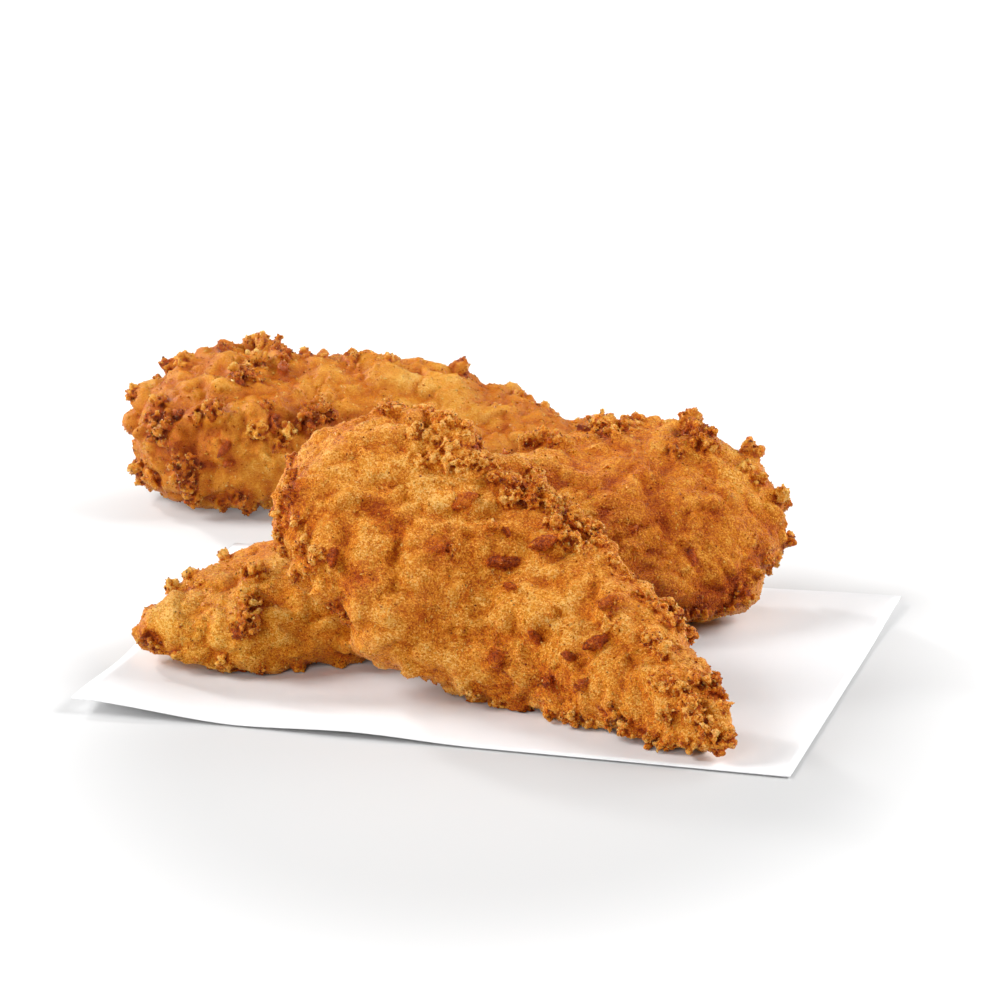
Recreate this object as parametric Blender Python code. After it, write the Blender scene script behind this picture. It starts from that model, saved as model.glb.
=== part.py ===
"""Three breaded chicken tenders, one of them leaning on the next, served on a small sheet of white paper.

Metres, +Z up. The origin is the centre of the sheet's underside. X runs along the sheet's long edge,
and Y along its short edge, towards the tender that lies behind the sheet.
"""

import math
import random

import bmesh
import bpy
from mathutils import Matrix, Vector, noise
from mathutils.bvhtree import BVHTree

# The paper sheet
SHEET_LENGTH = 0.140
SHEET_WIDTH = 0.104
SHEET_THICKNESS = 0.0003
SHEET_STEPS_X = 16
SHEET_STEPS_Y = 9
CORNER_LIFT = 0.0030
CORNER_REACH = 0.034
WAVE_LIFT = 0.0016
WAVE_CENTRE_X = -0.014
WAVE_HALF_LENGTH = 0.024
WAVE_DEPTH = 0.026
RIGHT_LIFT = 0.0008

# What keeps the pieces apart, and the height at which each one rests
SHEET_GAP = 0.0004
CONTACT_GAP = 0.0009
ON_SHEET = SHEET_THICKNESS + SHEET_GAP
ON_TABLE = 0.0

# How a point is drawn back out of a neighbour
UP = Vector((0.0, 0.0, 1.0))
RAY_STEP = 0.000002
PRESS_STEPS = 24
PRESS_HALVINGS = 6

# How finely a tender is modelled, and the form that its oval sections and its ends follow
RINGS = 34
RING_POINTS = 26
END_CROWDING = 0.03
SPINE_SAMPLES = 240
TANGENT_STEP = 0.02
SECTION_POWER = 2.3
END_POWER = 2.2

# The crust's relief: broad lumps all over, and crags that stand on them
LUMP_SIZE = 0.013
LUMP_HEIGHT = 0.0017
FOLD_SIZE = 0.0060
FOLD_HEIGHT = 0.0010
FOLD_LEVEL = 0.6
CRAG_SUBDIVISIONS = 1
CRAG_SIZES = (0.65, 1.25)
CRAG_WIDTHS = (0.45, 0.75)
CRAG_HEIGHTS = (0.40, 0.62)
CRAG_JITTER = 0.44
CRAG_JITTER_SCALE = 3.4
CRAG_RISE = 0.10
CRAG_FIRST = 0.015
CRAG_LAST = 0.985
CRAG_REACH = 0.7
CRAG_CLEARANCE = 0.0010
NOISE_RANGE = 50.0

# Each tender is a row of stations along its length, from left to right:
# centre x, y, z, then width, thickness, and the tilt of its width above the horizontal in degrees.
# end_round gives how much of the length rounds off at the first end and at the last.
# crags are clusters: place along the length (0 to 1), angle round the section in degrees
# (0 is the raised back edge, 90 the broad face, 180 the front edge), spread along, spread round,
# how many, and the length of one.
FRONT = {
    "stations": [
        (-0.0415, -0.0155, 0.0303, 0.0295, 0.0175, 52),
        (-0.0275, -0.0165, 0.0323, 0.0405, 0.0200, 52),
        (-0.0095, -0.0175, 0.0260, 0.0460, 0.0205, 51),
        (0.0070, -0.0180, 0.0185, 0.0430, 0.0200, 50),
        (0.0250, -0.0250, 0.0128, 0.0310, 0.0170, 45),
        (0.0435, -0.0365, 0.0080, 0.0185, 0.0120, 35),
        (0.0585, -0.0480, 0.0045, 0.0090, 0.0080, 25),
    ],
    "end_round": (0.16, 0.10),
    "rests_at": ON_SHEET,
    "seed": 11,
    "crags": [
        (0.20, 8, 0.10, 18, 9, 0.0060),
        (0.42, 12, 0.16, 16, 11, 0.0052),
        (0.70, 8, 0.14, 20, 6, 0.0044),
        (0.03, 90, 0.03, 60, 6, 0.0050),
        (0.12, 168, 0.06, 22, 6, 0.0055),
        (0.55, 172, 0.22, 16, 7, 0.0048),
        (0.92, 80, 0.08, 80, 5, 0.0036),
        (0.58, 90, 0.30, 46, 9, 0.0046),
    ],
}
CROSSING = {
    "stations": [
        (-0.0680, -0.0225, 0.0058, 0.0120, 0.0095, 5),
        (-0.0555, -0.0180, 0.0070, 0.0210, 0.0140, 12),
        (-0.0440, -0.0120, 0.0088, 0.0305, 0.0180, 18),
        (-0.0200, 0.0045, 0.0122, 0.0385, 0.0215, 26),
        (0.0050, 0.0205, 0.0165, 0.0430, 0.0225, 36),
        (0.0280, 0.0370, 0.0183, 0.0445, 0.0230, 40),
        (0.0455, 0.0500, 0.0195, 0.0375, 0.0200, 44),
    ],
    "end_round": (0.10, 0.16),
    "rests_at": ON_SHEET,
    "seed": 23,
    "crags": [
        (0.20, 20, 0.10, 30, 5, 0.0040),
        (0.24, 100, 0.12, 40, 4, 0.0046),
        (0.28, 178, 0.16, 14, 4, 0.0042),
        (0.62, 5, 0.08, 16, 6, 0.0048),
        (0.80, 5, 0.10, 18, 8, 0.0052),
        (0.98, 90, 0.03, 90, 8, 0.0046),
        (0.86, 182, 0.12, 16, 8, 0.0044),
        (0.78, 90, 0.14, 40, 5, 0.0050),
    ],
}
REAR = {
    "stations": [
        (-0.1015, 0.0815, 0.0142, 0.0240, 0.0195, 20),
        (-0.0915, 0.0815, 0.0148, 0.0340, 0.0235, 25),
        (-0.0760, 0.0840, 0.0150, 0.0385, 0.0255, 25),
        (-0.0480, 0.0905, 0.0138, 0.0370, 0.0240, 25),
        (-0.0190, 0.0920, 0.0106, 0.0310, 0.0190, 20),
        (0.0035, 0.0925, 0.0070, 0.0220, 0.0130, 15),
        (0.0200, 0.0920, 0.0042, 0.0120, 0.0078, 10),
    ],
    "end_round": (0.12, 0.10),
    "rests_at": ON_TABLE,
    "seed": 37,
    "crags": [
        (0.03, 100, 0.03, 80, 8, 0.0052),
        (0.16, 20, 0.08, 26, 9, 0.0056),
        (0.34, 20, 0.10, 22, 5, 0.0046),
        (0.58, 25, 0.12, 20, 5, 0.0044),
        (0.18, 130, 0.12, 40, 9, 0.0058),
        (0.12, 182, 0.12, 16, 7, 0.0050),
        (0.80, 60, 0.14, 60, 3, 0.0038),
    ],
}


def clear_scene():
    for obj in list(bpy.data.objects):
        bpy.data.objects.remove(obj)


def material(name, colour, roughness):
    made = bpy.data.materials.new(name)
    made.use_nodes = True
    shader = made.node_tree.nodes["Principled BSDF"]
    shader.inputs["Base Color"].default_value = (*colour, 1.0)
    shader.inputs["Roughness"].default_value = roughness
    shader.inputs["Metallic"].default_value = 0.0
    return made


def add_object(name, mesh_maker, finish):
    """A bmesh as a named object with its material, its faces pointing out."""
    bmesh.ops.recalc_face_normals(mesh_maker, faces=mesh_maker.faces)
    mesh = bpy.data.meshes.new(name)
    mesh_maker.to_mesh(mesh)
    mesh_maker.free()
    mesh.materials.append(finish)
    obj = bpy.data.objects.new(name, mesh)
    bpy.context.scene.collection.objects.link(obj)
    return obj


def catmull_rom(before, a, b, after, t):
    """The value at t between a and b on a smooth curve through all four."""
    return 0.5 * (
        2 * a
        + (b - before) * t
        + (2 * before - 5 * a + 4 * b - after) * t * t
        + (3 * a - before - 3 * b + after) * t * t * t
    )


def smooth_step(value):
    value = min(1.0, max(0.0, value))
    return value * value * (3 - 2 * value)


class Tender:
    """A tender's body: oval sections along a bent spine, rounded off at both ends."""

    def __init__(self, form):
        self.stations = form["stations"]
        self.end_round = form["end_round"]
        self.rests_at = form["rests_at"]
        self.shift = Vector((form["seed"], 2.0 * form["seed"], 0.0))
        self.places = self.even_places()

    def station(self, place):
        """The six station values at a place, counted in stations from the first end."""
        last = len(self.stations) - 1
        i = min(int(place), last - 1)
        t = place - i
        before = self.stations[max(i - 1, 0)]
        after = self.stations[min(i + 2, last)]
        return [
            catmull_rom(*values, t)
            for values in zip(before, self.stations[i], self.stations[i + 1], after)
        ]

    def even_places(self):
        """The place of each share of the spine's length, so that rings are spaced evenly."""
        last = len(self.stations) - 1
        places = [last * k / SPINE_SAMPLES for k in range(SPINE_SAMPLES + 1)]
        points = [Vector(self.station(place)[:3]) for place in places]
        lengths = [0.0]
        for a, b in zip(points, points[1:]):
            lengths.append(lengths[-1] + (b - a).length)
        return [(length / lengths[-1], place) for length, place in zip(lengths, places)]

    def place_of(self, along):
        for (low, a), (high, b) in zip(self.places, self.places[1:]):
            if along <= high:
                return a + (b - a) * (along - low) / (high - low)
        return self.places[-1][1]

    def heart(self, along):
        """The centre of the section at a share of the length."""
        return Vector(self.station(self.place_of(along))[:3])

    def roundness(self, along):
        """The share of the full section that is left near an end."""
        first, last = self.end_round
        share = min(along / first, (1 - along) / last, 1.0)
        return math.sqrt(max(0.0, 1 - (1 - share) ** END_POWER))

    def surface(self, along, angle):
        """The point and the outward direction at a share of the length and an angle round the section."""
        place = self.place_of(along)
        x, y, z, width, thickness, tilt = self.station(place)
        last = len(self.stations) - 1
        ahead = Vector(self.station(min(place + TANGENT_STEP, last))[:3])
        behind = Vector(self.station(max(place - TANGENT_STEP, 0.0))[:3])
        forward = (ahead - behind).normalized()
        level = UP.cross(forward).normalized()
        tilt = math.radians(tilt)
        across = level * math.cos(tilt) + forward.cross(level) * math.sin(tilt)
        face = forward.cross(across)

        half_width = 0.5 * width * self.roundness(along)
        half_thickness = 0.5 * thickness * self.roundness(along)
        c, s = math.cos(angle), math.sin(angle)
        a = math.copysign(abs(c) ** (2 / SECTION_POWER), c)
        b = math.copysign(abs(s) ** (2 / SECTION_POWER), s)
        out = across * (c * thickness) + face * (s * width)
        end_lean = smooth_step(1 - along / self.end_round[0]) - smooth_step(
            1 - (1 - along) / self.end_round[1]
        )
        out = (out.normalized() - forward * end_lean).normalized()
        point = Vector((x, y, z)) + across * (a * half_width) + face * (b * half_thickness)
        return point, out

    def relief(self, point):
        """How far the crust stands out of the body at a point."""
        lumps = noise.noise(point / LUMP_SIZE + self.shift)
        folds = 1 - 2 * abs(noise.noise(point / FOLD_SIZE - self.shift))
        return LUMP_HEIGHT * lumps + FOLD_HEIGHT * (folds - FOLD_LEVEL)

    def crust(self, along, angle):
        """A point of the crust's surface, which never sinks below what the tender rests on."""
        point, out = self.surface(along, angle)
        point = point + out * self.relief(point)
        point.z = max(point.z, self.rests_at)
        return point


def is_inside(point, tree):
    """Whether a point lies in a closed mesh: a line up from it leaves the mesh an odd number of times."""
    start = point.copy()
    crossings = 0
    hit = tree.ray_cast(start, UP)[0]
    while hit is not None:
        crossings += 1
        start = hit + UP * RAY_STEP
        hit = tree.ray_cast(start, UP)[0]
    return crossings % 2 == 1


def is_clear(point, neighbour):
    return neighbour.find_nearest(point)[3] > CONTACT_GAP and not is_inside(point, neighbour)


def pressed_in(point, heart, neighbour):
    """The point, drawn back towards the heart of its own section until it is clear of the neighbour."""
    if neighbour is None or is_clear(point, neighbour):
        return point
    low, high = 0.0, 1.0
    for step in range(1, PRESS_STEPS + 1):
        high = step / PRESS_STEPS
        if is_clear(point.lerp(heart, high), neighbour):
            break
        low = high
    for _ in range(PRESS_HALVINGS):
        middle = 0.5 * (low + high)
        if is_clear(point.lerp(heart, middle), neighbour):
            high = middle
        else:
            low = middle
    return point.lerp(heart, high)


def body_mesh(tender, neighbour):
    """The tender's body: rings, closer together at the ends, bridged by quads and closed by a fan."""
    made = bmesh.new()
    rings = []
    for i in range(1, RINGS):
        share = i / RINGS
        along = share - END_CROWDING * math.sin(2 * math.pi * share)
        heart = tender.heart(along)
        ring = []
        for k in range(RING_POINTS):
            point = tender.crust(along, 2 * math.pi * k / RING_POINTS)
            ring.append(made.verts.new(pressed_in(point, heart, neighbour)))
        rings.append(ring)
    for first, second in zip(rings, rings[1:]):
        for k in range(RING_POINTS):
            j = (k + 1) % RING_POINTS
            made.faces.new((first[k], first[j], second[j], second[k]))
    for ring, along in ((rings[0], 0.0), (rings[-1], 1.0)):
        pole = made.verts.new(tender.crust(along, 0.0))
        for k in range(RING_POINTS):
            made.faces.new((ring[k], ring[(k + 1) % RING_POINTS], pole))
    bmesh.ops.triangulate(made, faces=made.faces)
    return made


def crag(size, frame, draw):
    """One lump of crisp breading: a flattened, uneven ball in its own frame."""
    made = bmesh.new()
    bmesh.ops.create_icosphere(made, subdivisions=CRAG_SUBDIVISIONS, radius=0.5)
    stretch = Vector((size, size * draw.uniform(*CRAG_WIDTHS), size * draw.uniform(*CRAG_HEIGHTS)))
    shift = Vector([draw.uniform(0, NOISE_RANGE) for _ in range(3)])
    for vertex in made.verts:
        swell = 1 + CRAG_JITTER * noise.noise(vertex.co * CRAG_JITTER_SCALE + shift)
        vertex.co = frame @ (vertex.co * swell * stretch)
    return made


def crag_frame(centre, out, spin):
    """A frame at centre whose z points out of the crust, turned by spin about it."""
    turn = out.to_track_quat("Z", "Y").to_matrix().to_4x4()
    return Matrix.Translation(centre) @ turn @ Matrix.Rotation(spin, 4, "Z")


def has_room(centre, size, tender, neighbour):
    """Whether a crag clears what the tender rests on and the neighbour that it touches."""
    if centre.z - 0.5 * size < tender.rests_at:
        return False
    if neighbour is None:
        return True
    return neighbour.find_nearest(centre)[3] > CRAG_REACH * size + CRAG_CLEARANCE


def place_crags(group, tender, form, neighbour, finish):
    """Scatters the crags of each cluster over the crust, as objects of the group."""
    draw = random.Random(form["seed"])
    for along, angle, along_spread, angle_spread, count, length in form["crags"]:
        for _ in range(count):
            place = min(CRAG_LAST, max(CRAG_FIRST, draw.gauss(along, along_spread / 2)))
            turned = math.radians(draw.gauss(angle, angle_spread / 2))
            size = length * draw.uniform(*CRAG_SIZES)
            spin = draw.uniform(0, math.pi)
            _, out = tender.surface(place, turned)
            centre = tender.crust(place, turned) + out * CRAG_RISE * size
            if has_room(centre, size, tender, neighbour):
                lump = add_object("crag", crag(size, crag_frame(centre, out, spin), draw), finish)
                bpy.context.scene.collection.objects.unlink(lump)
                group.objects.link(lump)


def fuse_crags(obj, tender, form, neighbour, finish):
    """Fuses a tender's crags to its body with one Boolean union."""
    group = bpy.data.collections.new(obj.name + "_crags")
    bpy.context.scene.collection.children.link(group)
    place_crags(group, tender, form, neighbour, finish)
    union = obj.modifiers.new("fuse_crags", "BOOLEAN")
    union.operation = "UNION"
    union.operand_type = "COLLECTION"
    union.collection = group
    union.solver = "EXACT"
    union.use_self = True
    apply_modifiers(obj)
    keep_outer_shell(obj)
    for lump in list(group.objects):
        bpy.data.objects.remove(lump)
    bpy.data.collections.remove(group)


def apply_modifiers(obj):
    graph = bpy.context.evaluated_depsgraph_get()
    result = bpy.data.meshes.new_from_object(obj.evaluated_get(graph))
    obj.modifiers.clear()
    obj.data = result


def keep_outer_shell(obj):
    """Drops loose scraps and the walls of sealed hollows: only the largest connected shell stays."""
    made = bmesh.new()
    made.from_mesh(obj.data)
    left = set(made.faces)
    shells = []
    while left:
        shell = {left.pop()}
        rim = list(shell)
        while rim:
            for edge in rim.pop().edges:
                new = set(edge.link_faces) - shell
                shell |= new
                rim.extend(new)
        left -= shell
        shells.append(shell)
    outer = max(shells, key=len)
    bmesh.ops.delete(made, geom=[face for face in made.faces if face not in outer], context="FACES")
    made.to_mesh(obj.data)
    made.free()


def tree_of(obj):
    return BVHTree.FromPolygons(
        [vertex.co.copy() for vertex in obj.data.vertices],
        [tuple(polygon.vertices) for polygon in obj.data.polygons],
    )


def add_tender(name, form, finish, neighbour=None):
    """A whole tender, pressed against the neighbour that it touches."""
    tender = Tender(form)
    tree = tree_of(neighbour) if neighbour else None
    obj = add_object(name, body_mesh(tender, tree), finish)
    fuse_crags(obj, tender, form, tree, finish)
    return obj


def sheet_lift(x, y):
    """How far the sheet stands off the table at a point: one curled corner, a wave in the front edge."""
    to_corner = math.hypot(x + 0.5 * SHEET_LENGTH, y + 0.5 * SHEET_WIDTH)
    corner = smooth_step(1 - to_corner / CORNER_REACH)
    along = smooth_step(1 - abs(x - WAVE_CENTRE_X) / WAVE_HALF_LENGTH)
    inward = smooth_step(1 - (y + 0.5 * SHEET_WIDTH) / WAVE_DEPTH)
    to_right = math.hypot(x - 0.5 * SHEET_LENGTH, y - 0.5 * SHEET_WIDTH)
    right = smooth_step(1 - to_right / CORNER_REACH)
    return CORNER_LIFT * corner + WAVE_LIFT * along * inward + RIGHT_LIFT * right


def add_sheet(finish):
    """The paper: a thin grid with a top, an underside and a rim."""
    made = bmesh.new()
    layers = []
    for height in (0.0, SHEET_THICKNESS):
        layer = []
        for i in range(SHEET_STEPS_X + 1):
            x = SHEET_LENGTH * (i / SHEET_STEPS_X - 0.5)
            column = []
            for j in range(SHEET_STEPS_Y + 1):
                y = SHEET_WIDTH * (j / SHEET_STEPS_Y - 0.5)
                column.append(made.verts.new((x, y, sheet_lift(x, y) + height)))
            layer.append(column)
        layers.append(layer)
    under, top = layers
    for layer in layers:
        for i in range(SHEET_STEPS_X):
            for j in range(SHEET_STEPS_Y):
                a, b = layer[i][j], layer[i + 1][j]
                c, d = layer[i + 1][j + 1], layer[i][j + 1]
                made.faces.new((a, b, c))
                made.faces.new((a, c, d))
    rim = [(i, 0) for i in range(SHEET_STEPS_X)]
    rim += [(SHEET_STEPS_X, j) for j in range(SHEET_STEPS_Y)]
    rim += [(i, SHEET_STEPS_Y) for i in range(SHEET_STEPS_X, 0, -1)]
    rim += [(0, j) for j in range(SHEET_STEPS_Y, 0, -1)]
    for (i, j), (k, m) in zip(rim, rim[1:] + rim[:1]):
        made.faces.new((under[i][j], under[k][m], top[k][m]))
        made.faces.new((under[i][j], top[k][m], top[i][j]))
    return add_object("paper_sheet", made, finish)


def main():
    clear_scene()
    crust = material("crust", (0.50, 0.19, 0.035), 0.6)
    paper = material("paper", (0.86, 0.85, 0.83), 0.7)
    add_sheet(paper)
    front = add_tender("tender_front", FRONT, crust)
    add_tender("tender_crossing", CROSSING, crust, front)
    add_tender("tender_rear", REAR, crust)


main()
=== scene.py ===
"""The looks of three breaded chicken tenders on a small sheet of white paper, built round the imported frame.

Metres, in the frame's axes. Each tender's solid gets its crust: nodules and flakes are joined to it and
remeshed with it, and loose grains lie on top. Places read off the photograph are pixels of its 1000 x 1000
frame, and each one is carried along the camera's line of sight to its tender.
"""

import math
from collections import namedtuple

import bmesh
import bpy
import numpy as np
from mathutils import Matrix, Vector, noise
from mathutils.bvhtree import BVHTree
from mathutils.kdtree import KDTree


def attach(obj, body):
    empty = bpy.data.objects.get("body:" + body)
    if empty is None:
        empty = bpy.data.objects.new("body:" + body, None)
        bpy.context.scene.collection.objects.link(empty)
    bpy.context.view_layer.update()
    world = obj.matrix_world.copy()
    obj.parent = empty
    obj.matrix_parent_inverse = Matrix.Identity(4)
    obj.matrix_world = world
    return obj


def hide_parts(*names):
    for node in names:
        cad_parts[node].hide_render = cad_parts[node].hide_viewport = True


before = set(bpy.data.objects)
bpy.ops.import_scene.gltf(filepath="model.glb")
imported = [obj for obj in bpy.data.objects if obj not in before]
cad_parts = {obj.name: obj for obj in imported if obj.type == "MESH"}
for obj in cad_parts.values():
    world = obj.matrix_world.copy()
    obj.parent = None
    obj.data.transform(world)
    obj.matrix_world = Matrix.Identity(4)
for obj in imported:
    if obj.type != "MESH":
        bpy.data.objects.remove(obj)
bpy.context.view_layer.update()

MM = 0.001

# The camera: a long lens that looks down at the pile
CAMERA_TARGET = Vector((-0.02477, 0.09466, 0.0))
CAMERA_DISTANCE = 1.26667
CAMERA_AZIMUTH = 15.0
CAMERA_ELEVATION = 18.0
SENSOR = 36.0
LENS = 216.0
PICTURE_SIZE = 1000.0

# The soft lights round the pile: name, azimuth, elevation, distance, size and power
LIGHTS = (
    ("left", -75.0, 35.0, 1.2, 0.55, 15.5),
    ("right", 105.0, 35.0, 1.2, 0.55, 14.5),
    ("front", -5.0, 24.0, 1.2, 0.55, 6.5),
    ("back right", 150.0, 30.0, 1.0, 0.40, 3.7),
    ("back left", 236.0, 26.0, 0.9, 0.08, 3.8),
)
LIGHTS_TARGET = Vector((-0.01, 0.02, 0.02))
WORLD_STRENGTH = 0.05

# The table: its grey, and a glow that turns it white further off
FLOOR_HALF_SIZE = 4.0
FLOOR_DROP = 0.0002
FLOOR_GREY = 0.53
FLOOR_ROUGHNESS = 0.6
GLOW_STRETCH = (1.35, 1.0, 1.0)
GLOW_CENTRE = (0.019, -0.042, 0.0)
GLOW_REACH = (0.074, 0.160)
GLOW_STRENGTH = 0.38

# Painted shade: the floor's glow is held back in front of the rear tender, so the floor is darker there,
# where its shadow falls
SHADE_CENTRE = (-0.070, 0.070, 0.0)
SHADE_REACH = (0.010, 0.048)
SHADE_SHARE = 0.35

# The sheet, as its solid: 140 x 104 mm, one curled corner, a low wave in the front edge
SHEET_LENGTH = 0.140
SHEET_WIDTH = 0.104
SHEET_THICKNESS = 0.0003
CORNER_LIFT = 0.0024
CORNER_REACH = 0.034
WAVE_LIFT = 0.0008
WAVE_CENTRE_X = -0.014
WAVE_HALF_LENGTH = 0.024
WAVE_DEPTH = 0.026
RIGHT_LIFT = 0.0008

# The sheet's own mesh: its grid, and how thin it looks at the rim
SHEET_CELLS = (70, 52)
PAPER_THICKNESS = 0.00016

# Paper. Textures of noise are given by their scale, detail and roughness.
PAPER_COLOURS = ((230, 230, 231), (234, 234, 235))
PAPER_ROUGHNESS = 0.45
CLOUDS = (40.0, 3.0, 0.5)
FIBRES = (900.0, 5.0, 0.7)

# The crust's colours, from the palest tone to the brownest
CRUST_COLOURS = (
    (0.00, (250, 190, 102)), (0.12, (243, 168, 64)), (0.28, (226, 136, 31)),
    (0.48, (204, 103, 12)), (0.70, (172, 67, 5)), (1.00, (114, 33, 2)),
)

# What mottles the crust's tone, how much each part of it weighs, and the finest relief
PATCHES = (330.0, 6.0, 0.65)
PATCH_WEIGHT = 0.26
GRAIN = (3200.0, 3.0, 0.6)
GRAIN_WEIGHT = 0.80
CRUMB_SCALE = 3400.0
CRUMB_WEIGHT = 0.42
RELIEF = (3200.0, 4.0, 0.7)
RELIEF_HEIGHT = 0.00035

# Pepper: dark specks
PEPPER_SCALE = 520.0
PEPPER_RIM = (0.08, 0.13)
PEPPER_RARITY = 0.80
PEPPER_STRENGTH = 0.75
PEPPER_COLOUR = (70, 34, 14)

# The crust's fat lets light through and turns it redder, and its shine is warm
FAT_WEIGHT = 0.35
FAT_RADIUS = (1.0, 0.42, 0.12)
FAT_DEPTH = 0.0014
SHINE_TINT = (255, 238, 212)

# Gloss and roughness of the crust and of its loose grains
CRUST_FINISH = (0.25, 0.42)
GRAIN_FINISH = (0.90, 0.18)

# Each tender's skin: its solid in small even cells, smoothed
BASE_VOXEL = 0.0008
BASE_SMOOTHING = 10

# The batter's billows on the skin: width, noise shift for each seed, and height
BILLOWS = ((0.0105, 3.1, 0.0034), (0.0047, 5.7, 0.0024), (0.0024, 8.9, 0.0010))
BILLOW_DROP = 0.0016
SWELL_LIMIT = 0.0012

# The crust's mesh
VOXEL = 0.00034
TRIANGLES = 190000

# How far a lump's own tone covers the crust's, and which holds each layer of tones takes in
GRANULE_HOLD = 0.3
MOUND_HOLD = 0.3
CRAG_HOLD = 0.75
CLUMP_HOLD = 0.8
SPIKE_HOLD = 0.85
FLAKE_HOLD = 0.95
TONE_LAYERS = ((0.0, 0.5), (0.5, 0.9), (0.9, 1.0))
TONE_FADE = 0.0005

# Nodules, the rounded bits of crags and clumps. Here and below, a pair that varied() draws from holds the
# least value and how much more it can be.
NODULE_GAP = 0.85
NODULE_WIDTH = (0.55, 0.40)
NODULE_HEIGHT = (0.65, 0.45)
NODULE_TONE = 0.85
NODULE_SPREAD = 0.15
PALEST_NODULE = 0.14

# A crag: its rise, core and reach by its radius, and its nodules, which are smaller on small crags and rims
CRAG_RISE = (0.75, 0.40)
CRAG_CORE = (1.25, 1.05, 1.1)
CRAG_REACH = 1.12
CRAG_LIFT = (0.75, 0.50)
CRAG_NODULE = (0.95, 1.75)
NODULE_GROWTH = (0.75, 0.2)
RIM_NODULE = (0.65, 0.35)
CRAG_TRIES = 14
LEAST_TRIES = 12

# A clump: how far off the skin a crag becomes one, its stalk, and its nodules
CLUMP_START = 0.3
CLUMP_STALK = ((0.0, 2.3), (0.4, 1.9), (1.0, 1.3))
CLUMP_LIFT = (0.75, 0.35)
CLUMP_NODULE = (0.80, 0.80)
CLUMP_TRIES = 20

# Crags on the far side, in clusters
FAR_SIDE = -0.3
FAR_CLUSTERS = 13
CRAGS_IN_CLUSTER = 6
CLUSTER_SPREAD = 0.0032
FAR_CRAG_RADIUS = (1.0, 1.7)
FAR_CRAG_TONE = (0.35, 0.45)

# Granules: small grains fused to the crust in patches
GRANULES = 4200
GRANULE_PATCH = 0.0075
GRANULE_STRAYING = 0.25
GRANULE_SIZE = (0.55, 0.95)
GRANULE_TONE = (0.25, 0.35)

# Grains: loose crumbs on the crust, thicker on crags, where their tone spreads wider so that the palest are
# painted highlights for glints
GRAINS = 16000
CRAG_GRAINS = 2
GRAIN_SIZE = (0.22, 0.28)
GRAIN_LIFT = 0.16
GRAIN_SPREAD_AND_GLINTS = (0.24, 0.22)
GRAIN_PALENESS = 0.06
BURNT_SHARE = 0.02
BURNT_TONE = 1.2

# The widths of granules and grains
STONE_SHAPE = (1.0, 0.85, 0.8)

# How uneven lumps are, from what size in mm they are smoother, and how smooth flakes are
LUMP_JITTER = 0.18
LUMP_SIZE = 1.6
FLAKE_JITTER = 0.3

# The heights that the crust keeps to: the table, the sheet, the crossing tender's raised tip, the top
FLOOR_CLEARANCE = 0.0001
SHEET_TOP = 0.0005
TIP_START = -0.042
TIP_REACH = 0.018
TIP_RISE = 0.0027
CEILING = 0.0500
CEILING_ROOM = 0.0020

# The tone of the batter: its own mottling, painted light and shade on its billows, and the stain lists.
# Layers of noise: width, shift and weight.
SEED_SHIFT = 7.3
MOTTLING = ((0.0065, 11, 1.0), (0.0026, 17, 0.7))
MOTTLING_TONE = 0.12
# Painted light and shade: swollen billows lighter and sunken ones darker brown, by this much for each mm
SWELL_PAINTED_LIGHT = 0.07
STAIN_AND_PAINTED_LIGHT_STRENGTH = 1.3

# Where crags cover the crust by this share or more, it is fully craggy
CRAGGY_SHARE = 0.6

# Fine bumps and crinkles of the crust, and how much less of them a flake has
BUMPS = ((0.0011, 0, 1.0), (0.00055, 3, 0.6))
BUMP_LIFT = 0.00010
CRINKLES = ((0.0019, 5, 1.0), (0.0009, 7, 0.5))
CRINKLE_DROP = 0.3
CRINKLE_LIFT = 0.0001
CRAG_CRINKLES = 0.0007
FLAKE_EVENNESS = 0.8

# Painted shade in pits and hollows, painted highlights on tips: their full depths, and the tone off and on
# crags
NEAR_STEPS = 8
BROAD_STEPS = 60
PIT_DEPTH = 0.00022
PIT_SHADE = (0.10, 0.55)
HOLLOW_DEPTH = 0.0012
HOLLOW_SHADE = 0.22
TIP_HEIGHT = 0.00025
TIP_HIGHLIGHT = (0.05, 0.17)

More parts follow.
